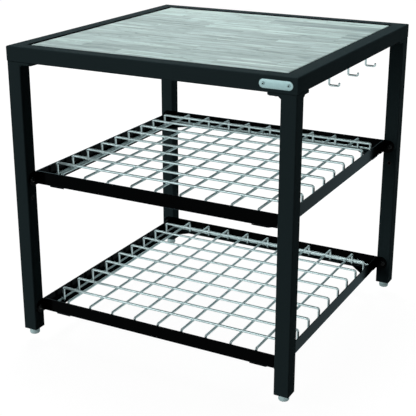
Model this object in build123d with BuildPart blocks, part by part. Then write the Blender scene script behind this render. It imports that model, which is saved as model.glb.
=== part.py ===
from build123d import *
import math
import os

# Square table frame for an outdoor kitchen: four tube legs on levelling feet, a mitred tube top
# frame that holds a loose wooden top, and two angle-iron shelf frames with loose wire grids.
# Millimetres, +Z up, origin on the floor under the middle of the table, front towards -Y.

os.makedirs("parts", exist_ok=True)

# Overall size
table_width = 760.0
table_depth = 760.0
table_height = 770.0

# Square tube of the legs and of the top frame
tube_size = 38.0
tube_wall = 2.0
tube_corner_radius = 3.0

# Levelling feet and the threaded plugs that carry them
foot_diameter = 26.0
foot_height = 18.0
foot_edge_chamfer = 2.5
foot_sides = 36
foot_stem_diameter = 8.4
foot_stem_length = 45.0
foot_plug_height = 25.0
running_clearance = 0.05

# Plates on the leg tops, bolted to the top frame from below
mount_plate_thickness = 6.0
mount_plate_reach = 34.0
mount_plate_end_chamfer = 8.0
weld_leg = 5.0

# Bolts and nuts, with the thread drawn at its root and few sides on what the heads hide
bolt_shank_diameter = 6.6
bolt_head_diameter = 14.0
bolt_head_height = 4.4
bolt_head_taper = 30.0
bolt_end_length = 2.0
bolt_hole_diameter = 9.0
fastener_sides = 8
head_sides = 12
nut_across_flats = 13.0
nut_height = 6.5
thread_clearance = 0.1

# Wooden top and the ledge that it lies on
wood_thickness = 27.0
wood_edge_gap = 2.0
wood_below_rails = 1.5
wood_edge_chamfer = 1.0
ledge_width = 20.0
ledge_thickness = 4.0
ledge_end_gap = 2.0

# Angle-iron shelf frames
lower_shelf_top = 97.0
upper_shelf_top = 449.0
angle_height = 35.0
angle_flange = 25.0
angle_thickness = 2.5
angle_bend_radius = 1.0
tab_end_margin = 11.0
tab_end_flat = 3.0
strap_near = 40.0
strap_far = 82.0
strap_edge_inset = 3.5
strap_thickness = 3.0
spare_hole_drop = 48.0

# Loose wire grids
wire_diameter = 6.5
wire_bend = 7.0
grid_pitch = 68.0
grid_edge_margin = 30.0
grid_gap = 3.0
grid_rise_above_rail = 4.2
rim_butt_gap = 0.3

# Bare nameplate at the right end of the front rail
nameplate_length = 78.6
nameplate_height = 20.0
nameplate_thickness = 1.2
nameplate_from_end = 48.5
nameplate_screw_diameter = 3.2
nameplate_screw_head = 7.6
nameplate_screw_head_height = 1.6
nameplate_screw_end = 3.0

# Tool hooks under the right rail
hook_wire = 5.0
hook_spacing = 125.0
hook_count = 3
hook_drop = 31.5
hook_reach = 25.0
hook_tip = 8.0
hook_bend = 4.0
hook_nut_across_flats = 10.0
hook_nut_height = 4.0
hook_nut_wall_gap = 1.7

# Places that follow from the sizes above
tube_bore = tube_size - 2 * tube_wall
leg_x = table_width / 2 - tube_size / 2
leg_y = table_depth / 2 - tube_size / 2
inner_x = leg_x - tube_size / 2
inner_y = leg_y - tube_size / 2
rail_bottom = table_height - tube_size
rail_middle = table_height - tube_size / 2
leg_top = rail_bottom - mount_plate_thickness
wood_bottom = table_height - wood_below_rails - wood_thickness
web_x = inner_x - angle_thickness
web_y = inner_y - angle_thickness
flange_y = inner_y - angle_flange
rim_x = web_x - grid_gap - wire_diameter / 2
rim_y = web_y - grid_gap - wire_diameter / 2
nameplate_x = table_width / 2 - nameplate_from_end
nameplate_screw_spacing = nameplate_length - nameplate_height
hook_nut_half_width = hook_nut_across_flats / math.sqrt(3)
hook_x = inner_x + tube_wall + hook_nut_wall_gap + hook_nut_half_width
hook_places = [(i - (hook_count - 1) / 2) * hook_spacing for i in range(hook_count)]
nut_bore = bolt_shank_diameter + 2 * thread_clearance
corners = {
    "front_left": (-1, -1),
    "front_right": (1, -1),
    "back_left": (-1, 1),
    "back_right": (1, 1),
}


def finish(piece, name):
    """Label a finished piece and write it to its own file."""
    piece.part.label = name
    export_step(piece.part, f"parts/{name}.step")


def tube_section():
    """Square tube section with rounded outside corners, in the sketch that is open."""
    RectangleRounded(tube_size, tube_size, tube_corner_radius)
    Rectangle(tube_bore, tube_bore, mode=Mode.SUBTRACT)


def round_section(width, mode=Mode.ADD):
    """Round bar, wire or hole of few sides, with flats along the axes, in the sketch that is open."""
    turn = 180 / fastener_sides
    RegularPolygon(width / 2, fastener_sides, major_radius=False, rotation=turn, mode=mode)


def tab_seat(side_x, side_y, height):
    """Plane on the leg face that a shelf tab is bolted to, looking out of the leg."""
    if side_y < 0:
        return Plane(origin=(side_x * inner_x, -leg_y, height), z_dir=(-side_x, 0, 0))
    return Plane(origin=(side_x * leg_x, inner_y, height), z_dir=(0, -1, 0))


def rail_seats(side_x, side_y):
    """Planes under the top frame where a leg plate's two bolts go, looking down."""
    half_reach = mount_plate_reach / 2
    places = [
        (side_x * (inner_x - half_reach), side_y * leg_y, rail_bottom),
        (side_x * leg_x, side_y * (inner_y - half_reach), rail_bottom),
    ]
    return [Plane(origin=place, z_dir=(0, 0, -1)) for place in places]


def raised(seats, distance):
    """The same planes moved out along their normals."""
    return [seat.offset(distance) for seat in seats]


def bolt_group(seats, grip):
    """Button-head bolts through a grip of plate and the tube wall behind it, one per seat."""
    with BuildPart() as bolts:
        with BuildSketch(*raised(seats, grip)):
            RegularPolygon(bolt_head_diameter / 2, head_sides)
        extrude(amount=bolt_head_height, taper=bolt_head_taper)
        with BuildSketch(*raised(seats, grip)):
            round_section(bolt_shank_diameter)
        extrude(amount=-(grip + tube_wall + nut_height + bolt_end_length))
    return bolts


def nut_group(seats, across_flats, bore, height):
    """Hexagon nuts welded behind the tube wall, one per seat."""
    with BuildPart() as nuts:
        with BuildSketch(*raised(seats, -tube_wall)):
            RegularPolygon(across_flats / 2, 6, major_radius=False)
            round_section(bore, mode=Mode.SUBTRACT)
        extrude(amount=-height)
    return nuts


def mitred_rail(outward, length, seats):
    """Top frame rail with mitred ends on the side that outward points to, with its bolt holes."""
    out = Vector(*outward)
    along = Vector(-out.Y, out.X, 0)
    reach = leg_x if out.Y == 0 else leg_y
    centre = out * reach + Vector(0, 0, rail_middle)
    with BuildPart() as rail:
        with BuildSketch(Plane(origin=centre, x_dir=out, z_dir=along)):
            tube_section()
        extrude(amount=length / 2, both=True)
        for end in (-1, 1):
            corner = centre + along * (end * length / 2) + out * (tube_size / 2)
            split(bisect_by=Plane(origin=corner, z_dir=along * end - out), keep=Keep.BOTTOM)
        with BuildSketch(*seats):
            round_section(bolt_hole_diameter)
        extrude(amount=-tube_wall, mode=Mode.SUBTRACT)
    return rail


# Top frame: four mitred rails
front_seats = [rail_seats(side, -1)[0] for side in (-1, 1)]
back_seats = [rail_seats(side, 1)[0] for side in (-1, 1)]
left_seats = [rail_seats(-1, side)[1] for side in (-1, 1)]
right_seats = [rail_seats(1, side)[1] for side in (-1, 1)]
hook_seats = [Plane(origin=(hook_x, y, rail_bottom), z_dir=(0, 0, -1)) for y in hook_places]
nameplate_seat = Plane(
    origin=(nameplate_x, -table_depth / 2, rail_middle), x_dir=(1, 0, 0), z_dir=(0, -1, 0)
)
nameplate_screw_places = [(-nameplate_screw_spacing / 2, 0), (nameplate_screw_spacing / 2, 0)]
nameplate_hole = nameplate_screw_diameter + 2 * thread_clearance
hook_hole = hook_wire + 2 * thread_clearance

with BuildPart() as top_rail_front:
    add(mitred_rail((0, -1), table_width, front_seats).part)
    with BuildSketch(nameplate_seat):
        with Locations(*nameplate_screw_places):
            round_section(nameplate_hole)
    extrude(amount=-tube_wall, mode=Mode.SUBTRACT)
finish(top_rail_front, "top_rail_front")

finish(mitred_rail((0, 1), table_width, back_seats), "top_rail_back")

finish(mitred_rail((-1, 0), table_depth, left_seats), "top_rail_left")

with BuildPart() as top_rail_right:
    add(mitred_rail((1, 0), table_depth, right_seats).part)
    with BuildSketch(*hook_seats):
        round_section(hook_hole)
    extrude(amount=-tube_wall, mode=Mode.SUBTRACT)
finish(top_rail_right, "top_rail_right")

# Ledge strips welded inside the top frame, the side strips between the front and back ones
with BuildPart() as top_ledges:
    with BuildSketch(Plane.XY.offset(wood_bottom - ledge_thickness)):
        with GridLocations(0, 2 * inner_y - ledge_width, 1, 2):
            Rectangle(2 * inner_x, ledge_width)
    extrude(amount=ledge_thickness)
    with BuildSketch(Plane.XY.offset(wood_bottom - ledge_thickness)):
        with GridLocations(2 * inner_x - ledge_width, 0, 2, 1):
            Rectangle(ledge_width, 2 * (inner_y - ledge_width - ledge_end_gap))
    extrude(amount=ledge_thickness)
finish(top_ledges, "top_ledges")

# Loose wooden top
with BuildPart() as wood_top:
    with BuildSketch(Plane.XY.offset(wood_bottom)):
        Rectangle(2 * (inner_x - wood_edge_gap), 2 * (inner_y - wood_edge_gap))
    extrude(amount=wood_thickness)
    chamfer(wood_top.faces().sort_by(Axis.Z)[-1].edges(), wood_edge_chamfer)
finish(wood_top, "wood_top")

# Legs with their top plates, end plugs and levelling feet
lower_bolt_height = lower_shelf_top - angle_height / 2
upper_bolt_height = upper_shelf_top - angle_height / 2
spare_hole_height = upper_bolt_height - spare_hole_drop
for name, (side_x, side_y) in corners.items():
    leg_middle = Vector(side_x * leg_x, side_y * leg_y, 0)
    leg_end = Plane(leg_middle + Vector(0, 0, foot_height))
    bolt_heights = (lower_bolt_height, upper_bolt_height)
    with BuildPart() as leg:
        with BuildSketch(leg_end):
            tube_section()
        extrude(amount=leg_top - foot_height)
        with BuildSketch(*[tab_seat(side_x, side_y, height) for height in bolt_heights]):
            round_section(bolt_hole_diameter)
        extrude(amount=-tube_wall, mode=Mode.SUBTRACT)
        with Locations(tab_seat(side_x, side_y, spare_hole_height)):
            Hole(bolt_hole_diameter / 2, depth=tube_wall)
    finish(leg, f"leg_{name}")

    arm = tube_size + mount_plate_reach
    outer_corner = (side_x * table_width / 2, side_y * table_depth / 2, leg_top)
    with BuildPart() as plate:
        with BuildSketch(Plane(outer_corner)) as outline:
            with Locations((-side_x * arm / 2, -side_y * tube_size / 2)):
                Rectangle(arm, tube_size)
            with Locations((-side_x * tube_size / 2, -side_y * arm / 2)):
                Rectangle(tube_size, arm)
            by_distance = outline.vertices().sort_by_distance((0, 0, 0))
            chamfer(by_distance[2:], mount_plate_end_chamfer)
            fillet(outline.vertices().sort_by_distance((0, 0, 0))[0], tube_corner_radius)
        extrude(amount=mount_plate_thickness)
        with BuildSketch(*rail_seats(side_x, side_y)):
            round_section(bolt_hole_diameter)
        extrude(amount=mount_plate_thickness, mode=Mode.SUBTRACT)
        weld_start = Vector(side_x * inner_x, side_y * table_depth / 2, leg_top)
        with BuildLine() as weld_path:
            FilletPolyline(
                weld_start,
                (side_x * inner_x, side_y * inner_y, leg_top),
                (side_x * table_width / 2, side_y * inner_y, leg_top),
                radius=tube_corner_radius,
            )
        with BuildSketch(Plane(weld_start, x_dir=(-side_x, 0, 0), z_dir=(0, -side_y, 0))):
            drop = side_x * side_y * weld_leg
            Polygon((0, 0), (weld_leg, 0), (0, drop), align=None)
        sweep(path=weld_path.line)
    finish(plate, f"leg_plate_{name}")

    with BuildPart() as plug:
        with BuildSketch(leg_end):
            Rectangle(tube_bore, tube_bore)
            round_section(foot_stem_diameter + 2 * running_clearance, mode=Mode.SUBTRACT)
        extrude(amount=foot_plug_height)
    finish(plug, f"leg_plug_{name}")

    with BuildPart() as foot:
        with BuildSketch(Plane(leg_middle)):
            RegularPolygon(foot_diameter / 2, foot_sides)
        extrude(amount=foot_height)
        chamfer(foot.faces().sort_by(Axis.Z)[0].edges(), foot_edge_chamfer)
        with BuildSketch(leg_end):
            round_section(foot_stem_diameter)
        extrude(amount=foot_stem_length)
    finish(foot, f"foot_{name}")

all_rail_seats = [seat for sides in corners.values() for seat in rail_seats(*sides)]
finish(bolt_group(all_rail_seats, mount_plate_thickness), "leg_plate_bolts")
finish(nut_group(all_rail_seats, nut_across_flats, nut_bore, nut_height), "top_rail_nuts")


def angle_bar(plane, length):
    """Bent angle along the plane's Z, its outside corner on the origin, flange on X, web on Y."""
    outer_bend = angle_bend_radius + angle_thickness
    with BuildPart() as bar:
        with BuildSketch(plane):
            with BuildLine():
                outer = FilletPolyline(
                    (angle_flange, 0), (0, 0), (0, angle_height), radius=outer_bend
                )
                inner = FilletPolyline(
                    (angle_flange, angle_thickness),
                    (angle_thickness, angle_thickness),
                    (angle_thickness, angle_height),
                    radius=angle_bend_radius,
                )
                Line(outer @ 0, inner @ 0)
                Line(outer @ 1, inner @ 1)
            make_face()
        extrude(amount=length)
    return bar.part


def tab_plate(plane, length):
    """Flat tab along the plane's X from its origin, with round corners at its far end."""
    with BuildPart() as tab:
        with BuildSketch(plane) as outline:
            Rectangle(length, angle_height, align=(Align.MIN, Align.CENTER))
            fillet(outline.vertices().sort_by(Axis.X)[-2:], (angle_height - tab_end_flat) / 2)
        extrude(amount=angle_thickness)
    return tab.part


def bent_wire(half_run, bottom, height, plane):
    """One grid wire along the plane's X, centred, with both ends bent down to the bottom height."""
    points = [
        (-half_run, bottom),
        (-half_run, height - wire_bend),
        (-half_run + wire_bend, height),
        (half_run - wire_bend, height),
        (half_run, height - wire_bend),
        (half_run, bottom),
    ]
    with BuildPart() as wire:
        with BuildLine(plane) as path:
            Polyline(*points)
        with BuildSketch(Plane(origin=path.line @ 0, z_dir=path.line % 0)):
            round_section(wire_diameter)
        sweep(transition=Transition.RIGHT)
    return wire.part


def grid_count(half_span):
    """Odd number of wires that fit a half span at the pitch, keeping the edge margin."""
    return 2 * math.floor((half_span - grid_edge_margin) / grid_pitch) + 1


def build_shelf_frame(shelf, shelf_top):
    """The four angle rails of one shelf, the straps across its corners, its bolts and its nuts."""
    bottom = shelf_top - angle_height
    middle = shelf_top - angle_height / 2
    seats = {name: tab_seat(*sides, middle) for name, sides in corners.items()}

    with BuildPart() as front_rail:
        add(angle_bar(Plane((-web_x, -inner_y, bottom), (0, 1, 0), (1, 0, 0)), 2 * web_x))
    finish(front_rail, f"{shelf}_shelf_front_rail")

    back_tab_length = leg_x + tab_end_margin - web_x
    with BuildPart() as back_rail:
        add(angle_bar(Plane((web_x, inner_y, bottom), (0, -1, 0), (-1, 0, 0)), 2 * web_x))
        add(tab_plate(Plane((web_x, inner_y, middle), (1, 0, 0), (0, -1, 0)), back_tab_length))
        add(tab_plate(Plane((-web_x, web_y, middle), (-1, 0, 0), (0, 1, 0)), back_tab_length))
        with BuildSketch(seats["back_left"], seats["back_right"]):
            round_section(bolt_hole_diameter)
        extrude(amount=angle_thickness, mode=Mode.SUBTRACT)
    finish(back_rail, f"{shelf}_shelf_back_rail")

    side_tab_length = leg_y + tab_end_margin - flange_y
    with BuildPart() as left_rail:
        add(angle_bar(Plane((-inner_x, flange_y, bottom), (1, 0, 0), (0, -1, 0)), 2 * flange_y))
        add(tab_plate(Plane((-web_x, -flange_y, middle), (0, -1, 0), (-1, 0, 0)), side_tab_length))
        with BuildSketch(Plane((-web_x, flange_y, middle), (0, 1, 0), (1, 0, 0))):
            Rectangle(web_y - flange_y, angle_height, align=(Align.MIN, Align.CENTER))
        extrude(amount=-angle_thickness)
        with BuildSketch(seats["front_left"]):
            round_section(bolt_hole_diameter)
        extrude(amount=angle_thickness, mode=Mode.SUBTRACT)
    finish(left_rail, f"{shelf}_shelf_left_rail")

    with BuildPart() as right_rail:
        mirror(left_rail.part, about=Plane.YZ)
    finish(right_rail, f"{shelf}_shelf_right_rail")

    strap_outline = [
        (strap_near, strap_edge_inset),
        (strap_far, strap_edge_inset),
        (strap_edge_inset, strap_far),
        (strap_edge_inset, strap_near),
    ]
    with BuildPart() as straps:
        with BuildSketch(Plane.XY.offset(bottom - strap_thickness)):
            for side_x, side_y in corners.values():
                points = [(side_x * (inner_x - x), side_y * (inner_y - y)) for x, y in strap_outline]
                Polygon(*points, align=None)
        extrude(amount=strap_thickness)
    finish(straps, f"{shelf}_shelf_corner_straps")

    finish(bolt_group(seats.values(), angle_thickness), f"{shelf}_shelf_bolts")
    shelf_nuts = nut_group(seats.values(), nut_across_flats, nut_bore, nut_height)
    finish(shelf_nuts, f"{shelf}_shelf_nuts")


def build_grid(shelf, shelf_top):
    """The loose wire grid of one shelf: cross wires over long wires, bent down to a rim."""
    seat = shelf_top - angle_height + angle_thickness
    cross_height = shelf_top + grid_rise_above_rail
    long_height = cross_height - wire_diameter
    rim_height = seat + wire_diameter / 2

    cross_wire = bent_wire(rim_x - wire_diameter, seat, cross_height, Plane.XZ)
    with BuildPart() as cross_wires:
        with GridLocations(0, grid_pitch, 1, grid_count(rim_y)):
            add(cross_wire)
    finish(cross_wires, f"{shelf}_grid_cross_wires")

    long_wire = bent_wire(rim_y - wire_diameter, seat, long_height, Plane.YZ)
    with BuildPart() as long_wires:
        with GridLocations(grid_pitch, 0, grid_count(rim_x), 1):
            add(long_wire)
    finish(long_wires, f"{shelf}_grid_long_wires")

    side_rod_half = rim_y - wire_diameter / 2 - rim_butt_gap
    with BuildPart() as rim:
        with BuildSketch(Plane.YZ.offset(-rim_x - wire_diameter / 2)):
            with Locations((-rim_y, rim_height), (rim_y, rim_height)):
                round_section(wire_diameter)
        extrude(amount=2 * rim_x + wire_diameter)
        with BuildSketch(Plane.XZ.offset(-side_rod_half)):
            with Locations((-rim_x, rim_height), (rim_x, rim_height)):
                round_section(wire_diameter)
        extrude(amount=2 * side_rod_half)
    finish(rim, f"{shelf}_grid_rim")


for shelf, shelf_top in (("lower", lower_shelf_top), ("upper", upper_shelf_top)):
    build_shelf_frame(shelf, shelf_top)
    build_grid(shelf, shelf_top)

# Nuts behind the spare holes, for a shelf at a lower setting
spare_seats = [tab_seat(*sides, spare_hole_height) for sides in corners.values()]
finish(nut_group(spare_seats, nut_across_flats, nut_bore, nut_height), "spare_hole_nuts")

# Bare nameplate and its two screws
with BuildPart() as nameplate:
    with BuildSketch(nameplate_seat):
        SlotOverall(nameplate_length, nameplate_height)
        with Locations(*nameplate_screw_places):
            round_section(nameplate_hole, mode=Mode.SUBTRACT)
    extrude(amount=nameplate_thickness)
finish(nameplate, "nameplate")

with BuildPart() as nameplate_screws:
    with BuildSketch(nameplate_seat.offset(nameplate_thickness)):
        with Locations(*nameplate_screw_places):
            RegularPolygon(nameplate_screw_head / 2, head_sides)
    extrude(amount=nameplate_screw_head_height)
    with BuildSketch(nameplate_seat.offset(nameplate_thickness)):
        with Locations(*nameplate_screw_places):
            round_section(nameplate_screw_diameter)
    extrude(amount=-(nameplate_thickness + tube_wall + nameplate_screw_end))
finish(nameplate_screws, "nameplate_screws")

# Tool hooks, held by nuts inside the right rail
hook_top = rail_bottom + tube_wall + hook_nut_height + bolt_end_length
hook_low = rail_bottom - hook_drop
hook_end = hook_x + hook_reach
for number, place in enumerate(hook_places, start=1):
    with BuildPart() as hook:
        with BuildLine(Plane.XZ.offset(-place)) as route:
            Polyline(
                (hook_x, hook_top),
                (hook_x, hook_low + hook_bend),
                (hook_x + hook_bend, hook_low),
                (hook_end - hook_bend, hook_low),
                (hook_end, hook_low + hook_bend),
                (hook_end, hook_low + hook_tip),
            )
        with BuildSketch(Plane(origin=route.line @ 0, z_dir=route.line % 0)):
            round_section(hook_wire)
        sweep(transition=Transition.RIGHT)
    finish(hook, f"tool_hook_{number}")

finish(
    nut_group(hook_seats, hook_nut_across_flats, hook_hole, hook_nut_height), "tool_hook_nuts"
)
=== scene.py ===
# %% [markdown]
# # A grill table frame, dressed in Blender
# The object is a square table frame for an outdoor kitchen: black tube legs and rails, a loose board of pale
# wooden staves, two wire-grid shelves in black angle iron, three tool hooks, a bare nameplate and levelling
# feet. The solids are already drawn and packed elsewhere. They load here as a fixed frame, in metres, with +Z
# up and the front towards -Y. This lesson gives them finishes, and swaps the plain pieces for detailed ones.

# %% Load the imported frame
import math
import random

import bmesh
import bpy
from mathutils import Matrix, Vector


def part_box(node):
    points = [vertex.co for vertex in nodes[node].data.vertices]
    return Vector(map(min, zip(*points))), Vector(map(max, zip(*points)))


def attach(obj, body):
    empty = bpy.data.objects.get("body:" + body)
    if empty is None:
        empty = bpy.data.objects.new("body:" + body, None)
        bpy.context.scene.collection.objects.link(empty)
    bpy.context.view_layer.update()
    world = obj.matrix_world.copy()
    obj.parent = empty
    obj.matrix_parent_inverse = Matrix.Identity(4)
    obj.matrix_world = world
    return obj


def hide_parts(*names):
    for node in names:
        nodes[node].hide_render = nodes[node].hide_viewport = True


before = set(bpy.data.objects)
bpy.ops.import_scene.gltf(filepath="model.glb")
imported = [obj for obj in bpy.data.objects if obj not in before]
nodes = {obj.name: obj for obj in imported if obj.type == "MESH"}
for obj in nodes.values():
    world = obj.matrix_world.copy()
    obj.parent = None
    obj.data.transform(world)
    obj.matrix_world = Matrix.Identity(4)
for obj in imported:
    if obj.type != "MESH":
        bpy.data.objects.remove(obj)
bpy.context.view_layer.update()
MM = 0.001

# %% [markdown]
# ## The camera
# The picture shows the table from its front right corner, a little from above, with upright legs. An
# architect's lens does that with a large downward shift, but a shift follows the camera to every other view.
# So the camera looks down a little, with a long lens and only a small shift, at the place that fits the
# table's corners best.

# %% Camera
scene = bpy.context.scene
scene.view_settings.view_transform = "Standard"
camera_yaw = math.radians(28.12)
camera_pitch = math.radians(18.87)
level = math.cos(camera_pitch)
looking = Vector((-math.sin(camera_yaw) * level, math.cos(camera_yaw) * level, -math.sin(camera_pitch)))

lens = bpy.data.cameras.new("camera")
lens.sensor_width = 36.0
lens.lens = 85.13
lens.shift_y = -0.05
camera = bpy.data.objects.new("camera", lens)
camera.location = (1.154, -2.220, 1.212)
camera.rotation_mode = "QUATERNION"
camera.rotation_quaternion = looking.to_track_quat("-Z", "Y")
scene.collection.objects.link(camera)
scene.camera = camera
print("camera looks along", [round(c, 3) for c in looking])

# %% [markdown]
# ## The studio
# The light in the picture is soft and comes from above: the top of a rail is about twice as bright as its
# front, and its right side is darker still. One large lamp overhead, one at the front left, and weak ones
# high on the right and behind give that. They are set so that a colour comes out about as it is written on a
# face that looks straight up. The front lamp is far away, so that the back legs get nearly as much of it as
# the front ones. A sky picture could light it too, but four lamps are easier to balance.

# %% Four soft lamps
def softbox(name, place, aim, size, watts):
    """A square area lamp at a place, turned towards another."""
    lamp = bpy.data.lights.new(name, "AREA")
    lamp.shape = "SQUARE"
    lamp.size = size
    lamp.energy = watts
    box = bpy.data.objects.new(name, lamp)
    box.location = place
    box.rotation_mode = "QUATERNION"
    box.rotation_quaternion = (Vector(aim) - Vector(place)).to_track_quat("-Z", "Y")
    scene.collection.objects.link(box)


table_top, table_middle, right_side = (0.0, 0.0, 0.77), (0.0, 0.0, 0.45), (0.38, 0.0, 0.6)
softbox("overhead_softbox", (-0.5, 0.5, 3.3), aim=table_top, size=1.4, watts=53)
softbox("front_softbox", (-3.2, -6.9, 1.6), aim=table_middle, size=5.7, watts=322)
softbox("right_softbox", (2.0, 0.7, 2.4), aim=right_side, size=1.2, watts=12)
softbox("back_softbox", (-1.8, 3.0, 1.2), aim=table_middle, size=2.0, watts=22)

# %% [markdown]
# ## White surroundings
# The background is white paper under a dim ceiling. If it were lit to white, its bounce would grey out the
# black paint. So the world and the floor show their white only to the camera and in reflections, through the
# Light Path node, and are dim to every other ray. The world is white up to a little over the horizon and grey
# above, which gives the steel wires their dark cores. The floor keeps some plain shading, so the shadow still
# shows, and glows a little more far out, where the lamps don't reach. It lies as low as the feet can be
# screwed out.

# %% Short ways to add nodes
def set_inputs(tree, node, inputs):
    """Set a node's inputs to values, or join them to other nodes' sockets."""
    for name, value in inputs.items():
        if isinstance(value, bpy.types.NodeSocket):
            tree.links.new(value, node.inputs[name])
        else:
            node.inputs[name].default_value = value


def add_node(tree, kind, inputs=None, **settings):
    """A new node with its settings and its inputs."""
    node = tree.nodes.new(kind)
    for name, value in settings.items():
        setattr(node, name, value)
    set_inputs(tree, node, inputs or {})
    return node


def calculate(tree, operation, *values):
    """What one Math node makes of numbers or sockets."""
    return add_node(tree, "ShaderNodeMath", dict(enumerate(values)), operation=operation).outputs[0]


def ramp(tree, source, *stops):
    """Colours along a value: pairs of a position and a grey or a colour."""
    node = add_node(tree, "ShaderNodeValToRGB", {"Fac": source})
    elements = node.color_ramp.elements
    while len(elements) < len(stops):
        elements.new(0.5)
    for element, (position, shade) in zip(elements, stops):
        element.position = position
        element.color = (*shade, 1.0) if isinstance(shade, tuple) else (shade, shade, shade, 1.0)
    return node.outputs["Color"]


print("ways to add nodes: set_inputs, add_node, calculate, ramp")

# %% A bright look for direct rays
def seen_directly(tree):
    """1 for rays from the camera and for reflected or refracted rays, 0 for all others."""
    path = add_node(tree, "ShaderNodeLightPath").outputs
    mirrored = calculate(tree, "MAXIMUM", path["Is Camera Ray"], path["Is Glossy Ray"])
    return calculate(tree, "MAXIMUM", mirrored, path["Is Transmission Ray"])


def dim_or_bright(tree, dim, bright):
    """The bright shader for rays that see it directly, and the dim one for all others."""
    choice = {0: seen_directly(tree), 1: dim.outputs[0], 2: bright.outputs[0]}
    return add_node(tree, "ShaderNodeMixShader", choice).outputs[0]


print("bright for the camera, and in reflections and glass")

# %% World
PAPER_WHITE = (1.0, 1.0, 1.0, 1.0)
WHITE_UP_TO, GREY_FROM, CEILING_GREY = 0.14, 0.36, 0.16
world = bpy.data.worlds.new("white_studio")
world.use_nodes = True
scene.world = world
sky = world.node_tree
sky.nodes.clear()
dim_sky = add_node(sky, "ShaderNodeBackground", {"Color": PAPER_WHITE, "Strength": 0.05})
towards = add_node(sky, "ShaderNodeTexCoord").outputs["Generated"]
height = add_node(sky, "ShaderNodeSeparateXYZ", {0: towards}).outputs["Z"]
backdrop = ramp(sky, height, (WHITE_UP_TO, 1.0), (GREY_FROM, CEILING_GREY))
paper_sky = add_node(sky, "ShaderNodeBackground", {"Color": backdrop, "Strength": 1.0})
add_node(sky, "ShaderNodeOutputWorld", {"Surface": dim_or_bright(sky, dim_sky, paper_sky)})
print("world:", world.name)

# %% Floor
FLOOR_HALF = 30.0
FOOT_TRAVEL, FOOT_CLEARANCE = 20 * MM, 0.2 * MM
FLOOR_HEIGHT = -FOOT_TRAVEL - FOOT_CLEARANCE
square = ((-1, -1), (1, -1), (1, 1), (-1, 1))
floor_corners = [(x * FLOOR_HALF, y * FLOOR_HALF, FLOOR_HEIGHT) for x, y in square]
floor_mesh = bpy.data.meshes.new("floor")
floor_mesh.from_pydata(floor_corners, [], [(0, 1, 2, 3)])
floor = bpy.data.objects.new("floor", floor_mesh)
scene.collection.objects.link(floor)

# Metres from the table's middle, and how white the paper glows there.
NEAR, FAR, GLOW_NEAR, GLOW_FAR = 0.6, 3.0, 0.955, 1.0
paper = bpy.data.materials.new("floor_paper")
paper.use_nodes = True
tree = paper.node_tree
tree.nodes.clear()
spot = add_node(tree, "ShaderNodeTexCoord").outputs["Object"]
away = add_node(tree, "ShaderNodeVectorMath", {0: spot}, operation="LENGTH").outputs["Value"]
away = calculate(tree, "DIVIDE", away, FLOOR_HALF)
whiteness = ramp(tree, away, (NEAR / FLOOR_HALF, GLOW_NEAR), (FAR / FLOOR_HALF, GLOW_FAR))
dim_floor = add_node(tree, "ShaderNodeBsdfDiffuse", {"Color": (0.10, 0.10, 0.10, 1)})
shaded_floor = add_node(tree, "ShaderNodeBsdfDiffuse", {"Color": (0.12, 0.12, 0.12, 1)})
glow = add_node(tree, "ShaderNodeEmission", {"Color": whiteness, "Strength": 1.0})
bright_floor = add_node(tree, "ShaderNodeAddShader", {0: shaded_floor.outputs[0], 1: glow.outputs[0]})
add_node(tree, "ShaderNodeOutputMaterial", {"Surface": dim_or_bright(tree, dim_floor, bright_floor)})
floor_mesh.materials.append(paper)
print("floor at", floor_mesh.vertices[0].co.z)

# %% [markdown]
# ## Black powder coat
# Legs, top rails, leg plates and ledges are powder coated: a dull black with a grain as fine as sandpaper. An
# image of the grain would need a photo and seams. Two noises do it without: a fine one for the grain's bumps
# and speckle, and a broad one that makes some areas a little duller. The gloss is very low, so the setting on
# the shader's specular level is low as well. Along the gap round the board the rails' inner edges are painted
# almost black: painted shade for the shade in the gap. That band is found by its place on the object.

# %% What every finish needs
def new_finish(name):
    """An empty finish: the material, its node tree, its shader and the place on the object."""
    finish = bpy.data.materials.new(name)
    finish.use_nodes = True
    tree = finish.node_tree
    shader = tree.nodes["Principled BSDF"]
    place = add_node(tree, "ShaderNodeTexCoord").outputs["Object"]
    return finish, tree, shader, place


def noise(tree, place, scale, detail=2.0, stretch=None, roughness=0.5):
    """Noise with about this many features per metre, drawn out along an axis by its stretch."""
    if stretch:
        place = add_node(tree, "ShaderNodeMapping", {"Vector": place, "Scale": stretch}).outputs[0]
    settings = {"Vector": place, "Scale": scale, "Detail": detail, "Roughness": roughness}
    return add_node(tree, "ShaderNodeTexNoise", settings).outputs["Fac"]


def bump(tree, height, depth, strength):
    """Bumps of a real depth in metres, for the shader's normal."""
    settings = {"Height": height, "Distance": depth, "Strength": strength}
    return add_node(tree, "ShaderNodeBump", settings).outputs[0]


def blend(tree, kind, amount, under, over):
    """One colour laid over another by an amount."""
    mix = add_node(tree, "ShaderNodeMix", {0: amount, 6: under, 7: over}, data_type="RGBA", blend_type=kind)
    return mix.outputs[2]


def dress(finish, *names):
    """Put one finish on CAD nodes that keep their own shape."""
    for name in names:
        nodes[name].data.materials.clear()
        nodes[name].data.materials.append(finish)
    print(finish.name, "on", len(names), "nodes")


print(len(nodes), "nodes wait for a finish or a detailed piece")

# %% Powder coat
CORNERS = ("front_left", "front_right", "back_left", "back_right")
SIDES = ("front", "back", "left", "right")
# Painted shade beside the board: where it is full and where it is gone, outwards from the board's edge, and
# down from the top of the rails.
SHADE_FULL_TO, SHADE_GONE_FROM = 3.6 * MM, 4.8 * MM
SHADE_FULL_DROP, SHADE_GONE_DROP = 5 * MM, 8 * MM


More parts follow.
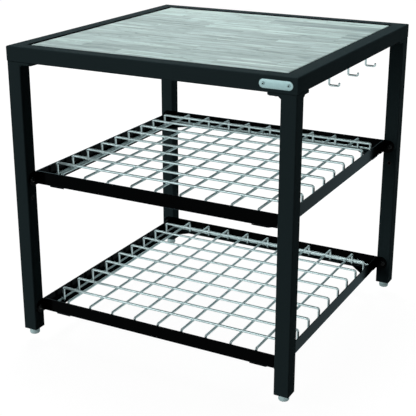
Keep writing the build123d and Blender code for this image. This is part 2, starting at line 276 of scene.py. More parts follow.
def painted_gap_shade(tree, place):
    """Where shade is painted: 1 on the rails' rounded inner edges at the height of the board, 0 elsewhere."""
    x, y, z = add_node(tree, "ShaderNodeSeparateXYZ", {0: place}).outputs
    reach = calculate(tree, "MAXIMUM", calculate(tree, "ABSOLUTE", x), calculate(tree, "ABSOLUTE", y))
    board_edge, rail_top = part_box("wood_top")[1].x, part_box("top_rail_front")[1].z
    near = ramp(tree, reach, (board_edge + SHADE_FULL_TO, 1.0), (board_edge + SHADE_GONE_FROM, 0.0))
    high = ramp(tree, z, (rail_top - SHADE_GONE_DROP, 0.0), (rail_top - SHADE_FULL_DROP, 1.0))
    return calculate(tree, "MULTIPLY", near, high)


def powder_coat():
    finish, tree, shader, place = new_finish("black_powder_coat")
    grain = noise(tree, place, 900.0, 3.0)
    speckle = ramp(tree, grain, (0.30, (0.0175, 0.0285, 0.0310)), (0.70, (0.0270, 0.0435, 0.0470)))
    set_inputs(tree, shader, {
        # Painted shade: the rails' inner edges beside the board are painted near black.
        "Base Color": blend(tree, "MIX", painted_gap_shade(tree, place), speckle, (0.002, 0.003, 0.003, 1)),
        "Roughness": ramp(tree, noise(tree, place, 9.0, 4.0), (0.3, 0.62), (0.7, 0.74)),
        "Specular IOR Level": 0.003,
        "Normal": bump(tree, grain, 0.12 * MM, 0.6),
    })
    return finish


black_coat = powder_coat()
dress(black_coat, "top_ledges", *[f"top_rail_{side}" for side in SIDES])
dress(black_coat, *[f"leg_{corner}" for corner in CORNERS], *[f"leg_plate_{corner}" for corner in CORNERS])

# %% [markdown]
# ## Glossy shelf paint
# The angle-iron shelves are painted a smooth, deep black. Face on they show nothing, and at a flat angle they
# mirror the white room and the leg behind them. A dark colour alone would be equally dark from everywhere, so
# the shader keeps a sharp but weak reflection, which grows by itself towards flat angles. A thin lacquer with
# a cool tint lies over the black and colours what it mirrors.

# %% Shelf paint
SHELVES = ("lower", "upper")


def shelf_paint():
    finish, tree, shader, place = new_finish("glossy_shelf_black")
    flow = noise(tree, place, 60.0, 3.0)
    set_inputs(tree, shader, {
        "Base Color": ramp(tree, flow, (0.3, (0.0003, 0.0004, 0.0004)), (0.7, (0.0006, 0.0008, 0.0008))),
        "Roughness": ramp(tree, noise(tree, place, 14.0, 3.0), (0.3, 0.11), (0.7, 0.18)),
        "Specular IOR Level": 0.014,
        "Coat Weight": 1.0,
        "Coat IOR": 1.01,
        "Coat Roughness": 0.15,
        "Coat Tint": (0.86, 0.97, 1.0, 1.0),
        "Normal": bump(tree, flow, 0.04 * MM, 0.5),
    })
    return finish


shelf_black = shelf_paint()
dress(shelf_black, *[f"{shelf}_shelf_{side}_rail" for shelf in SHELVES for side in SIDES])
dress(shelf_black, *[f"{shelf}_shelf_corner_straps" for shelf in SHELVES])

# %% [markdown]
# ## Hidden hardware
# The nuts inside the tubes are zinc plated and the plugs in the leg ends are moulded plastic. They show only
# from below or when a foot is out, so their solids keep their shape and get a plain but real finish each.

# %% Zinc and plug plastic
def zinc_plate():
    finish, tree, shader, place = new_finish("zinc_plate")
    cloud = noise(tree, place, 400.0, 4.0)
    set_inputs(tree, shader, {
        "Base Color": ramp(tree, cloud, (0.3, (0.44, 0.47, 0.48)), (0.7, (0.62, 0.64, 0.64))),
        "Roughness": ramp(tree, cloud, (0.3, 0.28), (0.7, 0.45)),
        "Metallic": 1.0,
    })
    return finish


def plug_plastic():
    finish, tree, shader, place = new_finish("moulded_plug_black")
    grain = noise(tree, place, 700.0, 2.0)
    set_inputs(tree, shader, {
        "Base Color": ramp(tree, grain, (0.3, 0.014), (0.7, 0.024)),
        "Roughness": 0.55,
        "Specular IOR Level": 0.3,
        "Normal": bump(tree, grain, 0.1 * MM, 0.5),
    })
    return finish


dress(zinc_plate(), "top_rail_nuts", "lower_shelf_nuts", "upper_shelf_nuts", "tool_hook_nuts")
dress(plug_plastic(), *[f"leg_plug_{corner}" for corner in CORNERS])

# %% [markdown]
# ## Drawn wire
# The grids and hooks are steel wire that was pulled through a die, which leaves fine lines along it. Noise in
# object space would run across half of the wires. So each wire gets its own UV map, with its length along U
# and its girth along V, and noise stretched along U follows every bend. The sawn ends are marked on their
# faces and coloured dark.

# %% Drawn wire finish
WIRE_MAP = "along_wire"
CUT_END = "cut_end"


def face_mark(tree, name):
    """The number that a piece carries on each of its faces under this name."""
    return add_node(tree, "ShaderNodeAttribute", attribute_name=name).outputs["Fac"]


def drawn_wire():
    finish, tree, shader, place = new_finish("drawn_steel_wire")
    along = add_node(tree, "ShaderNodeUVMap", uv_map=WIRE_MAP).outputs[0]
    lines = noise(tree, along, 1.0, 3.0, stretch=(60.0, 2600.0, 1.0))
    patches = noise(tree, place, 30.0, 3.0)
    tone = ramp(tree, lines, (0.30, (0.58, 0.75, 0.76)), (0.70, (0.70, 0.87, 0.88)))
    tone = blend(tree, "MULTIPLY", 1.0, tone, ramp(tree, patches, (0.35, 0.86), (0.65, 1.0)))
    set_inputs(tree, shader, {
        "Base Color": blend(tree, "MIX", face_mark(tree, CUT_END), tone, (0.035, 0.045, 0.047, 1)),
        "Roughness": ramp(tree, lines, (0.3, 0.27), (0.7, 0.42)),
        "Metallic": 0.62,
        "Specular IOR Level": 0.15,
        "Specular Tint": (0.25, 0.33, 0.34, 1.0),
        "Normal": bump(tree, lines, 0.03 * MM, 0.6),
    })
    return finish


wire_steel = drawn_wire()
print("finish:", wire_steel.name)

# %% [markdown]
# ## Skinning rings
# Wires, bolts, feet and the nameplate are all made the same way: a row of rings of points, skinned with
# quads and closed at both ends. Blender's curve bevel could make the wires, but rings give bolts, sockets
# and threads too, and leave clean closed meshes.

# %% Rings, and a finished piece
def skin_rings(bm, rings):
    """Close a row of equally long rings into one shell. Returns its side faces row by row, then both ends."""
    loops = [[bm.verts.new(point) for point in ring] for ring in rings]
    count = len(loops[0])
    sides = [
        [bm.faces.new((near[i - 1], near[i], far[i], far[i - 1])) for i in range(count)]
        for near, far in zip(loops, loops[1:])
    ]
    return sides + [[bm.faces.new(loops[0])], [bm.faces.new(loops[-1])]]


def add_piece(name, bm, finish, body, slot, *replaced, crease=40):
    """Turn a bmesh into a smooth-shaded piece with its finish, its body and the nodes that it stands for."""
    bmesh.ops.recalc_face_normals(bm, faces=bm.faces)
    mesh = bpy.data.meshes.new(name)
    bm.to_mesh(mesh)
    bm.free()
    mesh.shade_smooth()
    mesh.set_sharp_from_angle(angle=math.radians(crease))
    mesh.materials.append(finish)
    piece = bpy.data.objects.new(name, mesh)
    scene.collection.objects.link(piece)
    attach(piece, body)
    if replaced:
        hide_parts(*replaced)
    print(name, len(mesh.polygons), "faces")


print("ways to make pieces: skin_rings, add_piece")

# %% [markdown]
# ## Bent wire
# A grid wire is a straight rod with both ends bent down round a small former. Its route is given by its
# corner points. Each corner becomes an arc, and a circle of points is set across the route at every step. All
# routes are flat, so one side direction holds for the whole wire and nothing twists.

# %% Bent wire
WIRE_SIDES = 14
BEND_STEPS = 7
END_ROUNDING = 0.5 * MM


def bend_corners(points, bend):
    """A route with its right-angle corners rounded to the bend's radius."""
    route = [points[0]]
    for before, corner, after in zip(points, points[1:], points[2:]):
        back, ahead = (before - corner).normalized(), (after - corner).normalized()
        middle = corner + (back + ahead) * bend
        for step in range(BEND_STEPS + 1):
            turn = math.pi / 2 * step / BEND_STEPS
            route.append(middle - ahead * bend * math.cos(turn) - back * bend * math.sin(turn))
    return route + [points[-1]]


def sweep_wire(bm, route, radius, side, rounding=END_ROUNDING):
    """A round wire along a flat route, with rounded dark cut ends and a map of its length and girth."""
    first, last = (route[1] - route[0]).normalized(), (route[-2] - route[-1]).normalized()
    route = [route[0], route[0] + first * rounding, *route[1:-1], route[-1] + last * rounding, route[-1]]
    radii = [radius - rounding] + [radius] * (len(route) - 2) + [radius - rounding]
    rings, lengths, travelled = [], [], 0.0
    for i, point in enumerate(route):
        ahead = (route[min(i + 1, len(route) - 1)] - route[max(i - 1, 0)]).normalized()
        up = ahead.cross(side)
        turns = [2 * math.pi * k / WIRE_SIDES for k in range(WIRE_SIDES)]
        rings.append([point + (side * math.cos(t) + up * math.sin(t)) * radii[i] for t in turns])
        travelled += (point - route[i - 1]).length if i else 0.0
        lengths.append(travelled)
    uv = bm.loops.layers.uv.get(WIRE_MAP) or bm.loops.layers.uv.new(WIRE_MAP)
    cut = bm.faces.layers.float.get(CUT_END) or bm.faces.layers.float.new(CUT_END)
    girth = 2 * math.pi * radius / WIRE_SIDES
    rows = skin_rings(bm, rings)
    for row in (rows[0], *rows[-3:]):
        for face in row:
            face[cut] = 1.0
    for row, (start, end) in zip(rows, zip(lengths, lengths[1:])):
        for i, face in enumerate(row):
            spots = ((start, i - 1), (start, i), (end, i), (end, i - 1))
            for loop, (u, v) in zip(face.loops, spots):
                loop[uv].uv = (u, v * girth)


print("wire of", WIRE_SIDES, "sides")

# %% [markdown]
# ## The wire grids
# Each shelf carries a loose grid: nine wires from left to right lie over nine from front to back, all with
# their ends bent down to a rim of four rods. The box of each CAD node says where its outer wires are, and the
# others are spread evenly between. A grid texture on a plate would be cheaper, but the wires are the object's
# character: they cast shadows, cross over and under and show their bends.

# %% Grids
WIRE_BEND = 4.5 * MM
WIRES_EACH_WAY = 9
RIM_JOINT = 0.3 * MM
rim_low, rim_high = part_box("upper_grid_rim")
WIRE_RADIUS = (rim_high.z - rim_low.z) / 2
X, Y, Z = Vector((1, 0, 0)), Vector((0, 1, 0)), Vector((0, 0, 1))


def spread(low, high):
    """Centres of the evenly spaced wires between the outer sides of the first and the last."""
    first, last = low + WIRE_RADIUS, high - WIRE_RADIUS
    return [first + (last - first) * k / (WIRES_EACH_WAY - 1) for k in range(WIRES_EACH_WAY)]


def bent_rod(bm, start, end, bottom):
    """One wire between two upper corners, with both ends bent straight down to the bottom height."""
    side = (end - start).normalized().cross(Z)
    feet = [Vector((corner.x, corner.y, bottom)) for corner in (start, end)]
    sweep_wire(bm, bend_corners([feet[0], start, end, feet[1]], WIRE_BEND), WIRE_RADIUS, side)


def grid_wires(shelf):
    """The two layers and the rim of one grid. Returns the places where wires are welded together."""
    body = f"{shelf}_grid"
    low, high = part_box(f"{shelf}_grid_cross_wires")
    rows, cross_top = spread(low.y, high.y), high.z - WIRE_RADIUS
    ends = (low.x + WIRE_RADIUS, high.x - WIRE_RADIUS)
    bm = bmesh.new()
    for y in rows:
        bent_rod(bm, Vector((ends[0], y, cross_top)), Vector((ends[1], y, cross_top)), low.z)
    add_piece(f"{shelf}_grid_cross_rods", bm, wire_steel, body, "wire_steel", f"{shelf}_grid_cross_wires")
    leg_welds = [(Vector((x, y, low.z + WIRE_RADIUS)), X) for x in ends for y in rows]

    low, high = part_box(f"{shelf}_grid_long_wires")
    columns, long_top = spread(low.x, high.x), high.z - WIRE_RADIUS
    ends = (low.y + WIRE_RADIUS, high.y - WIRE_RADIUS)
    bm = bmesh.new()
    for x in columns:
        bent_rod(bm, Vector((x, ends[0], long_top)), Vector((x, ends[1], long_top)), low.z)
    add_piece(f"{shelf}_grid_long_rods", bm, wire_steel, body, "wire_steel", f"{shelf}_grid_long_wires")
    leg_welds += [(Vector((x, y, low.z + WIRE_RADIUS)), Y) for x in columns for y in ends]

    low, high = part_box(f"{shelf}_grid_rim")
    height = (low.z + high.z) / 2
    bm = bmesh.new()
    for y in (low.y + WIRE_RADIUS, high.y - WIRE_RADIUS):
        sweep_wire(bm, [Vector((low.x, y, height)), Vector((high.x, y, height))], WIRE_RADIUS, Z)
    butt = 2 * WIRE_RADIUS + RIM_JOINT
    front, back = low.y + butt, high.y - butt
    for x in (low.x + WIRE_RADIUS, high.x - WIRE_RADIUS):
        sweep_wire(bm, [Vector((x, front, height)), Vector((x, back, height))], WIRE_RADIUS, Z)
    add_piece(f"{shelf}_grid_rim_rods", bm, wire_steel, body, "wire_steel", f"{shelf}_grid_rim")

    crossing = (cross_top + long_top) / 2
    return [Vector((x, y, crossing)) for x in columns for y in rows], leg_welds


grid_welds = {shelf: grid_wires(shelf) for shelf in SHELVES}

# %% [markdown]
# ## Weld nuggets
# Where two wires cross, a pulse of current melts them together and squeezes out a bright bead. Each bead is a
# small ball, flattened and pushed about a little, so no two are the same. The pushes are seeded and come out
# the same each time. Without the beads the crossings look like sticks laid on each other.

# %% Weld nuggets
CROSSING_BEAD = Vector((3.7, 3.7, 2.3)) * MM
LEG_BEAD = Vector((3.0, 3.0, 3.0)) * MM
LEG_BEAD_FLATTENED = 1.2 * MM
LEAST_PUSH, MOST_PUSH = 0.9, 1.08


def bead_metal():
    finish, tree, shader, place = new_finish("weld_bead")
    scale = noise(tree, place, 1500.0, 3.0)
    set_inputs(tree, shader, {
        "Base Color": ramp(tree, scale, (0.3, (0.46, 0.58, 0.59)), (0.7, (0.70, 0.80, 0.81))),
        "Roughness": ramp(tree, scale, (0.3, 0.30), (0.7, 0.48)),
        "Metallic": 1.0,
        "Normal": bump(tree, scale, 0.1 * MM, 0.5),
    })
    return finish


def add_bead(bm, place, sizes, shaker):
    """A flattened, slightly uneven bead of melted metal."""
    shape = Matrix.Translation(place) @ Matrix.Diagonal((*sizes, 1.0))
    for vert in bmesh.ops.create_icosphere(bm, subdivisions=2, radius=1.0, matrix=shape)["verts"]:
        vert.co = place + (vert.co - place) * shaker.uniform(LEAST_PUSH, MOST_PUSH)


weld_bead = bead_metal()
shaker = random.Random(7)
for shelf, (crossings, leg_welds) in grid_welds.items():
    bm = bmesh.new()
    for place in crossings:
        add_bead(bm, place, CROSSING_BEAD, shaker)
    for place, out in leg_welds:
        outward = math.copysign(WIRE_RADIUS, place.dot(out))
        add_bead(bm, place + out * outward, LEG_BEAD - out * LEG_BEAD_FLATTENED, shaker)
    add_piece(f"{shelf}_grid_weld_beads", bm, weld_bead, f"{shelf}_grid", "wire_steel", crease=60)

# %% [markdown]
# ## Wood of the board
# The top is glued from staves of pale wood, bleached to a cool grey. The grain runs along each stave and
# starts anew in the next. Noise stretched along X draws the grain, the fine pores, a few pale streaks, dark
# smudges and flecks. Every stave carries two numbers on its faces: its tone, and a shift that moves it to
# another place in the noise, so that no two staves share their grain.

# %% Pale stave wood
STAVE_TONE, STAVE_SHIFT = "stave_tone", "stave_shift"
PALE_STREAK, DARK_SMUDGE, DARK_FLECK = (0.66, 0.83, 0.79, 1), (0.22, 0.31, 0.31, 1), (0.13, 0.19, 0.19, 1)


def stave_wood():
    finish, tree, shader, place = new_finish("pale_stave_wood")
    jump = {0: (7.3, 3.1, 5.7), "Scale": face_mark(tree, STAVE_SHIFT)}
    offset = add_node(tree, "ShaderNodeVectorMath", jump, operation="SCALE").outputs[0]
    place = add_node(tree, "ShaderNodeVectorMath", {0: place, 1: offset}).outputs[0]

    grain = noise(tree, place, 1.0, 5.0, stretch=(4.5, 70.0, 70.0), roughness=0.72)
    pores = noise(tree, place, 1.0, 3.0, stretch=(24.0, 620.0, 620.0))
    streak = noise(tree, place, 1.0, 3.0, stretch=(4.0, 85.0, 85.0))
    smudge = noise(tree, place, 1.0, 2.0, stretch=(13.0, 44.0, 44.0))
    fleck = noise(tree, place, 1.0, 2.0, stretch=(36.0, 120.0, 120.0))

    dark, middling, pale = (0.30, 0.41, 0.405), (0.42, 0.555, 0.543), (0.535, 0.715, 0.685)
    colour = ramp(tree, face_mark(tree, STAVE_TONE), (0.0, dark), (0.5, middling), (1.0, pale))
    colour = blend(tree, "MULTIPLY", 1.0, colour, ramp(tree, grain, (0.30, 0.55), (0.70, 1.27)))
    colour = blend(tree, "MULTIPLY", 1.0, colour, ramp(tree, pores, (0.32, 0.90), (0.60, 1.06)))
    colour = blend(tree, "MIX", ramp(tree, streak, (0.57, 0.0), (0.70, 0.95)), colour, PALE_STREAK)
    colour = blend(tree, "MIX", ramp(tree, smudge, (0.58, 0.0), (0.74, 0.7)), colour, DARK_SMUDGE)
    colour = blend(tree, "MIX", ramp(tree, fleck, (0.65, 0.0), (0.73, 0.75)), colour, DARK_FLECK)
    set_inputs(tree, shader, {
        "Base Color": colour,
        "Roughness": ramp(tree, grain, (0.3, 0.62), (0.7, 0.48)),
        "Specular IOR Level": 0.12,
        "Normal": bump(tree, pores, 0.08 * MM, 0.5),
    })
    return finish


board_wood = stave_wood()
print("finish:", board_wood.name)

# %% [markdown]
# ## The stave board
# Eleven rows of staves run from left to right, with their butt joints staggered. The joints are where the
# picture shows them, and where it shows none they are set midway. A board with painted lines would do from
# afar. Real staves, each a block with eased upper edges, catch the light along every joint.

# %% Stave board
STAVE_JOINTS = (
    (-112, 144), (-232, 282), (34,), (-150, 175), (-238, 23, 270), (-90, 165),
    (-217, 34, 292), (-92, 290), (-185, 150), (-230, 32), (-92, 170),
)
STAVE_TONES = (
    (0.35, 0.75, 0.55), (0.80, 0.35, 0.75), (0.60, 0.50), (0.45, 0.55, 0.50),
    (0.50, 0.55, 0.40, 0.55), (0.40, 0.45, 0.55), (0.55, 0.40, 0.50, 0.60), (0.35, 0.78, 0.08),
    (0.60, 0.75, 0.65), (0.85, 0.80, 0.02), (0.90, 0.80, 0.85),
)
GLUE_LINE = 0.05 * MM
EASED_EDGE = 0.25 * MM
BOARD_ROUNDING = 2.5 * MM
BOARD_GAP = 1.0 * MM


def add_stave(bm, low, high, at_edge, marks):
    """One stave as a block, rounded over where it is at the board's edge and eased a little at its joints."""
    halfway = BOARD_ROUNDING * (1.0 - math.sqrt(0.5))
    steps = (
        (high.z - low.z, 0.0, 0.0), (BOARD_ROUNDING, 0.0, 0.0),
        (halfway, halfway, 0.0), (0.0, BOARD_ROUNDING, EASED_EDGE),
    )
    rings = []
    for drop, rounding, easing in steps:
        left, right, front, back = [rounding if edge else easing for edge in at_edge]
        xs, ys = (low.x + left, high.x - right), (low.y + front, high.y - back)
        rings.append([Vector((xs[i], ys[j], high.z - drop)) for i, j in ((0, 0), (1, 0), (1, 1), (0, 1))])
    start = len(bm.faces)
    skin_rings(bm, rings)
    bm.faces.ensure_lookup_table()
    for face in bm.faces[start:]:
        for layer, value in marks.items():
            face[layer] = value


board_low, board_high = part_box("wood_top")
lane_width = (board_high.y - board_low.y) / len(STAVE_JOINTS)
bm = bmesh.new()
tone_layer = bm.faces.layers.float.new(STAVE_TONE)
shift_layer = bm.faces.layers.float.new(STAVE_SHIFT)
shifter = random.Random(3)
for lane, (joints, tones) in enumerate(zip(STAVE_JOINTS, STAVE_TONES)):
    cuts = [board_low.x, *[joint * MM for joint in joints], board_high.x]
    near, far = board_low.y + lane * lane_width, board_low.y + (lane + 1) * lane_width
    for k, tone in enumerate(tones):
        at_edge = (k == 0, k == len(tones) - 1, lane == 0, lane == len(STAVE_JOINTS) - 1)
        gaps = [BOARD_GAP if edge else GLUE_LINE for edge in at_edge]
        low = Vector((cuts[k] + gaps[0], near + gaps[2], board_low.z))
        high = Vector((cuts[k + 1] - gaps[1], far - gaps[3], board_high.z))
        add_stave(bm, low, high, at_edge, {tone_layer: tone, shift_layer: shifter.random()})
add_piece("stave_board", bm, board_wood, "wood_top", "wood", "wood_top", crease=20)

# %% [markdown]
# ## Where the fasteners are
# Bolts, screws and nuts were drawn many to a node. To set a detailed one on each, the node's mesh is copied,
# its points are joined, and every connected lump gives one box. That is safer than typing each place again.

# %% Boxes of separate solids
def lump_boxes(node):
    """The box of each separate solid in a CAD node, read from a copy of its mesh."""
    bm = bmesh.new()
    bm.from_mesh(nodes[node].data)
    bmesh.ops.remove_doubles(bm, verts=bm.verts, dist=0.01 * MM)
    waiting, boxes = set(bm.verts), []
    while waiting:
        queue, lump = [waiting.pop()], []
        while queue:
            vert = queue.pop()
            lump.append(vert.co.copy())
            near = {edge.other_vert(vert) for edge in vert.link_edges} & waiting
            waiting -= near
            queue += near
        boxes.append((Vector(map(min, zip(*lump))), Vector(map(max, zip(*lump)))))
    bm.free()
    return sorted(boxes, key=lambda box: tuple(box[0]))


def facing(out, place):
    """The turn and place that put a piece made along +Z at a place, looking out."""
    return Matrix.Translation(place) @ out.to_track_quat("Z", "Y").to_matrix().to_4x4()


for node in ("leg_plate_bolts", "upper_shelf_bolts", "spare_hole_nuts", "nameplate_screws"):
    print(node, len(lump_boxes(node)), "solids")

# %% [markdown]
# ## Button-head bolts
# The shelves and leg plates are held by black bolts with low domed heads and a hexagon socket. A dome alone
# is a lathe shape, but the socket has six sides. Rings of 24 points can be both: circles on the dome, and
# hexagons down in the socket, joined by one flat row of faces.

# %% Rings of a button-head bolt
RING_POINTS = 24
DOME_STEPS = 6
BROKEN_EDGE, SOCKET_BEVEL = 0.15 * MM, 0.25 * MM
# Shares of the shank's width, of the socket's width and of the head's rise.
TIP_WIDTH, TIP_TAPER = 0.7, 0.15
FLAT_TOP, SOCKET_POINT = 0.68, 0.5
HEAD_RIM, SOCKET_WALL, SOCKET_FLOOR = 0.14, 0.40, 0.32


def circle(radius, height):
    """A ring of points round the Z axis."""
    turns = [2 * math.pi * k / RING_POINTS for k in range(RING_POINTS)]
    return [Vector((radius * math.cos(t), radius * math.sin(t), height)) for t in turns]


def hexagon(across_flats, height):
    """A ring of points along a hexagon, four on each side."""
    ring = []
    for point in circle(1.0, 0.0):
        turn = math.atan2(point.y, point.x) % (math.pi / 3) - math.pi / 6
        radius = across_flats / 2 / math.cos(turn)
        ring.append(Vector((point.x * radius, point.y * radius, height)))
    return ring


def button_bolt(head, rise, socket, shank, length):
    """Rings of a button-head bolt or screw, from its tip up its shank, over its dome and into its socket."""
    rings = [circle(shank / 2 * TIP_WIDTH, -length), circle(shank / 2, -length + shank * TIP_TAPER)]
    rings += [circle(shank / 2, 0.0), circle(head / 2 - BROKEN_EDGE, 0.0)]
    rings += [circle(head / 2, BROKEN_EDGE), circle(head / 2, rise * HEAD_RIM)]
    flat = socket * FLAT_TOP
    for k in range(1, DOME_STEPS + 1):
        turn = math.pi / 2 * k / DOME_STEPS
        radius = flat + (head / 2 - flat) * math.cos(turn)
        rings.append(circle(radius, rise * (HEAD_RIM + (1.0 - HEAD_RIM) * math.sin(turn))))
    rings += [hexagon(socket + 2 * SOCKET_BEVEL, rise), hexagon(socket, rise - SOCKET_BEVEL)]
    rings += [hexagon(socket, rise * SOCKET_WALL), hexagon(socket * SOCKET_POINT, rise * SOCKET_FLOOR)]
    return rings


print("bolts of rings of", RING_POINTS, "points")

# %% Button-head bolts
# Faces down in a socket carry this mark; on the nameplate screws they get painted shade there, near black.
PAINTED_SOCKET_SHADE = "painted_socket_shade"
BOLT_HEAD, BOLT_RISE, BOLT_SOCKET, BOLT_SHANK = 14.0 * MM, 4.4 * MM, 5.0 * MM, 6.6 * MM


def seat_pieces(bm, node, rings_for, out_for):
    """Set rings on each solid of a node, along its axis, with the outermost point where the solid's is."""
    socket = bm.faces.layers.float.new(PAINTED_SOCKET_SHADE)
    for low, high in lump_boxes(node):
        middle = (low + high) / 2
        out = out_for(middle)
        reach = abs(out.dot(high - low))
        rings, rise = rings_for(reach)
        seat = facing(out, middle + out * (reach / 2 - rise))
        *rows, _, socket_floor = skin_rings(bm, [[seat @ point for point in ring] for ring in rings])
        for face in [*rows[-1], *rows[-2], *socket_floor]:
            face[socket] = 1.0


def black_oxide():
    finish, tree, shader, place = new_finish("black_oxide")
    cloud = noise(tree, place, 500.0, 3.0)
    set_inputs(tree, shader, {
        "Base Color": ramp(tree, cloud, (0.3, (0.004, 0.006, 0.0065)), (0.7, (0.010, 0.014, 0.015))),
        "Roughness": ramp(tree, cloud, (0.3, 0.20), (0.7, 0.32)),
        "Specular IOR Level": 0.08,
    })
    return finish


def bolt_rings(reach):
    return button_bolt(BOLT_HEAD, BOLT_RISE, BOLT_SOCKET, BOLT_SHANK, reach - BOLT_RISE), BOLT_RISE


def downwards(place):
    """Out of a leg plate, whose bolts come up from below."""
    return -Z


def inwards(place):
    """Out of the leg face that carries a shelf tab: sideways on the front legs, forwards on the back legs."""
    return Vector((-math.copysign(1, place.x), 0, 0)) if place.y < 0 else -Y


bolt_black = black_oxide()
bolt_sides = {"leg_plate_bolts": downwards, "lower_shelf_bolts": inwards, "upper_shelf_bolts": inwards}
for node, out_for in bolt_sides.items():
    bm = bmesh.new()
    seat_pieces(bm, node, bolt_rings, out_for)
    add_piece(node.replace("bolts", "button_bolts"), bm, bolt_black, "frame", "bolt_black", node, crease=32)

# %% [markdown]
# ## Spare threaded holes
# Below each upper bolt the leg has an open hole with a nut set in it, so the shelf can go lower. It shows as
# a dark disc with a glint on its rim. One turned shape makes it: a thin rounded rim on the leg's face, a bore
# with thread ridges, and the hexagon body behind the wall.

# %% Spare threaded holes
LEG_WALL = 2.0 * MM
NUT_DEPTH, NUT_FLATS, NUT_BORE, NUT_SLEEVE, NUT_RIM = 6.5 * MM, 13.0 * MM, 6.8 * MM, 8.8 * MM, 11.6 * MM
RIM_RISE, RIM_EDGE, RIM_ROUNDING = 0.6 * MM, 0.25 * MM, 0.5 * MM
THREAD_PITCH, THREAD_DEPTH = 1.25 * MM, 0.45 * MM
TAIL_BEVEL, TAIL_EDGE, TAIL_FLARE = 0.6 * MM, 0.4 * MM, 0.2 * MM


def threaded_insert():
    """Rings round the wall of the insert, from its face down its bore and back up outside, as a band."""
    bore, rim = NUT_BORE / 2, NUT_RIM / 2
    face, tail = LEG_WALL + RIM_RISE, -NUT_DEPTH
    rings = [circle(bore + RIM_ROUNDING, face)]
    height = face - RIM_ROUNDING
    while height > tail + THREAD_PITCH:
        rings += [circle(bore, height), circle(bore + THREAD_DEPTH, height - THREAD_PITCH / 2)]
        height -= THREAD_PITCH
    rings += [circle(bore + TAIL_FLARE, tail), hexagon(NUT_FLATS - TAIL_BEVEL, tail)]
    rings += [hexagon(NUT_FLATS, tail + TAIL_EDGE), hexagon(NUT_FLATS, 0.0)]
    rings += [circle(NUT_SLEEVE / 2, 0.0), circle(NUT_SLEEVE / 2, LEG_WALL), circle(rim, LEG_WALL)]
    return rings + [circle(rim, LEG_WALL + RIM_EDGE), circle(rim - RIM_ROUNDING, face)]


def insert_black():
    finish, tree, shader, place = new_finish("glossy_insert_black")
    cloud = noise(tree, place, 700.0, 3.0)
    set_inputs(tree, shader, {
        "Base Color": ramp(tree, cloud, (0.3, 0.0015), (0.7, 0.0030)),
        "Roughness": ramp(tree, cloud, (0.3, 0.10), (0.7, 0.18)),
        "Specular IOR Level": 0.10,
    })
    return finish


def skin_band(bm, rings):
    """Skin rings into a band that closes on itself, with a hole through it."""
    loops = [[bm.verts.new(point) for point in ring] for ring in rings]
    for near, far in zip(loops, loops[1:] + loops[:1]):
        for i in range(len(near)):
            bm.faces.new((near[i - 1], near[i], far[i], far[i - 1]))


bm = bmesh.new()
for low, high in lump_boxes("spare_hole_nuts"):
    middle = (low + high) / 2
    out = inwards(middle)
    seat = facing(out, middle + out * NUT_DEPTH / 2)
    skin_band(bm, [[seat @ point for point in ring] for ring in threaded_insert()])
add_piece("spare_hole_inserts", bm, insert_black(), "frame", "bolt_black", "spare_hole_nuts", crease=32)

# %% [markdown]
# ## Levelling feet
# Each leg stands on a pale, turned foot with a rounded lower edge and fine grooves, on a threaded stem that
# screws into the leg's plug. Its profile is spun round the axis. The thread is a real helix: the stem's
# radius rises and falls with the height and the angle together, so the ridge climbs as it goes round.

# %% Levelling feet
FOOT_HEIGHT = 18.0 * MM
STEM_CREST, STEM_DEPTH, STEM_PITCH = 4.15 * MM, 0.55 * MM, 1.5 * MM
STEM_ROOT = STEM_CREST - STEM_DEPTH
STEPS_PER_TURN = 5
RIDGE_SLOPE, TIP_CUT = 1.6, 1.6


def foot_profile():
    """Radii and heights of the turned foot, in millimetres, from the edge of its sole to its shoulder."""
    profile = [(9.5, 0.0), (10.8, 0.25), (11.9, 0.9), (12.65, 1.9), (13.0, 3.2)]
    for groove in (6.4, 9.6, 12.8):
        profile += [(13.0, groove - 0.55), (12.6, groove - 0.3), (12.6, groove + 0.3), (13.0, groove + 0.55)]
    return profile + [(13.0, 16.6), (12.7, 17.4), (12.0, 17.85), (11.0, 18.0)]


def foot_rings(stem_end):
    """Rings of a foot with its threaded stem."""
    rings = [circle(radius * MM, height * MM) for radius, height in foot_profile()]
    step = STEM_PITCH / STEPS_PER_TURN
    rings.append(circle(STEM_ROOT, FOOT_HEIGHT))
    for k in range(1, int((stem_end - FOOT_HEIGHT) / step)):
        height = FOOT_HEIGHT + k * step
        ring = []
        for i, point in enumerate(circle(1.0, height)):
            climb = (height / STEM_PITCH - i / RING_POINTS) % 1.0
            ridge = 1.0 - abs(2.0 * climb - 1.0)
            radius = STEM_CREST - STEM_DEPTH * (1.0 - min(1.0, RIDGE_SLOPE * ridge))
            ring.append(Vector((point.x * radius, point.y * radius, height)))
        rings.append(ring)
    tip = STEM_CREST - TIP_CUT * STEM_DEPTH
    return rings + [circle(STEM_ROOT, stem_end - 0.5 * step), circle(tip, stem_end)]


def turned_metal():
    finish, tree, shader, place = new_finish("turned_foot_metal")
    turning = noise(tree, place, 1.0, 3.0, stretch=(40.0, 40.0, 2400.0))
    cloud = noise(tree, place, 60.0, 3.0)
    tone = ramp(tree, turning, (0.3, (0.54, 0.74, 0.75)), (0.7, (0.67, 0.88, 0.89)))
    set_inputs(tree, shader, {
        "Base Color": blend(tree, "MULTIPLY", 1.0, tone, ramp(tree, cloud, (0.3, 0.92), (0.7, 1.0))),
        "Roughness": ramp(tree, turning, (0.3, 0.34), (0.7, 0.46)),
        "Metallic": 0.2,
        "Specular IOR Level": 0.05,
        "Specular Tint": (0.55, 0.70, 0.71, 1.0),
        "Normal": bump(tree, turning, 0.04 * MM, 0.5),
    })
    return finish


foot_metal = turned_metal()
for corner in CORNERS:
    foot = f"foot_{corner}"
    low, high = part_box(f"foot_{corner}")
    centre = Vector(((low.x + high.x) / 2, (low.y + high.y) / 2, 0.0))
    bm = bmesh.new()
    skin_rings(bm, [[centre + point for point in ring] for ring in foot_rings(high.z)])
    add_piece(f"turned_foot_{corner}", bm, foot_metal, foot, "foot_grey", foot, crease=50)

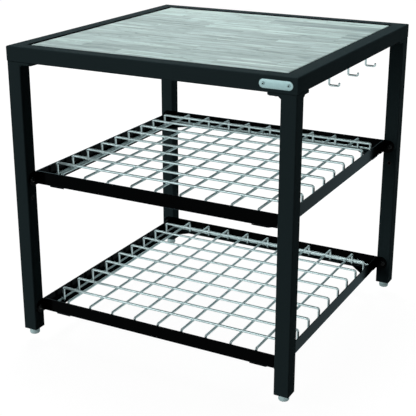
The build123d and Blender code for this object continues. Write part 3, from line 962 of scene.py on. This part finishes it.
# %% [markdown]
# ## Nameplate
# The front rail carries a small plate with round ends, brushed along its length, held by two button screws.
# It is bare here. The outline is a ring of points round a stadium, and a few such rings, drawn in a little
# towards the front, round its edge over so that it catches a line of light.

# %% Nameplate
OUTLINE_POINTS = 48
# Insets in millimetres, each at a share of the plate's thickness.
PLATE_EDGE = ((0.0, 0.0), (0.0, 0.55), (0.12, 0.82), (0.35, 0.96), (0.7, 1.0))


def brushed_plate():
    finish, tree, shader, place = new_finish("brushed_plate")
    brush = noise(tree, place, 1.0, 4.0, stretch=(45.0, 2600.0, 2600.0))
    cloud = noise(tree, place, 90.0, 3.0)
    tone = ramp(tree, brush, (0.3, (0.200, 0.300, 0.307)), (0.7, (0.247, 0.360, 0.367)))
    tone = blend(tree, "MULTIPLY", 1.0, tone, ramp(tree, cloud, (0.3, 0.93), (0.7, 1.04)))
    set_inputs(tree, shader, {
        # Painted shade: the faces down in the screws' sockets are painted near black.
        "Base Color": blend(tree, "MIX", face_mark(tree, PAINTED_SOCKET_SHADE), tone, (0.006, 0.008, 0.009, 1)),
        "Roughness": ramp(tree, brush, (0.3, 0.34), (0.7, 0.48)),
        "Metallic": 1.0,
        "Normal": bump(tree, brush, 0.03 * MM, 0.5),
    })
    return finish


def stadium(low, high, inset, y):
    """A ring of points round an upright plate with round ends, drawn in by an inset."""
    radius = (high.z - low.z) / 2
    straight = (high.x - low.x) / 2 - radius
    middle = (low + high) / 2
    ring = []
    for k in range(OUTLINE_POINTS):
        turn = 2 * math.pi * (k + 0.5) / OUTLINE_POINTS
        x = math.copysign(straight, math.cos(turn)) + (radius - inset) * math.cos(turn)
        ring.append(Vector((middle.x + x, y, middle.z + (radius - inset) * math.sin(turn))))
    return ring


plate_metal = brushed_plate()
low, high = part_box("nameplate")
thickness = high.y - low.y
bm = bmesh.new()
skin_rings(bm, [stadium(low, high, inset * MM, high.y - thickness * share) for inset, share in PLATE_EDGE])
add_piece("bare_nameplate", bm, plate_metal, "frame", "nameplate_metal", "nameplate", crease=50)

# %% Nameplate screws
SCREW_HEAD, SCREW_RISE, SCREW_SOCKET, SCREW_SHANK = 7.6 * MM, 1.6 * MM, 3.2 * MM, 3.2 * MM


def screw_rings(reach):
    return button_bolt(SCREW_HEAD, SCREW_RISE, SCREW_SOCKET, SCREW_SHANK, reach - SCREW_RISE), SCREW_RISE


def forwards(place):
    """Out of the front rail."""
    return -Y


bm = bmesh.new()
screws = "nameplate_screws"
# Their sockets are painted near black, as painted shade.
seat_pieces(bm, screws, screw_rings, forwards)
add_piece("nameplate_button_screws", bm, plate_metal, "frame", "nameplate_metal", screws, crease=32)

# %% [markdown]
# ## Tool hooks
# Three hooks of thinner wire hang under the right rail: down, out to the side and up again at the tip. They
# are made like the grid wires, from their corner points. The upper end goes through the rail to a nut.

# %% Tool hooks
HOOK_WIRE = 2.5 * MM
HOOK_BEND = 4.0 * MM
HOOK_TIP = 8.0 * MM
HOOK_ROUNDING = 1.4 * MM
for number in (1, 2, 3):
    low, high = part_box(f"tool_hook_{number}")
    y = (low.y + high.y) / 2
    stem, tip, bottom = low.x + HOOK_WIRE, high.x - HOOK_WIRE, low.z + HOOK_WIRE
    corners = ((stem, high.z), (stem, bottom), (tip, bottom), (tip, bottom + HOOK_TIP))
    points = [Vector((x, y, z)) for x, z in corners]
    bm = bmesh.new()
    sweep_wire(bm, bend_corners(points, HOOK_BEND), HOOK_WIRE, Y, HOOK_ROUNDING)
    add_piece(f"bent_tool_hook_{number}", bm, wire_steel, "frame", "wire_steel", f"tool_hook_{number}")
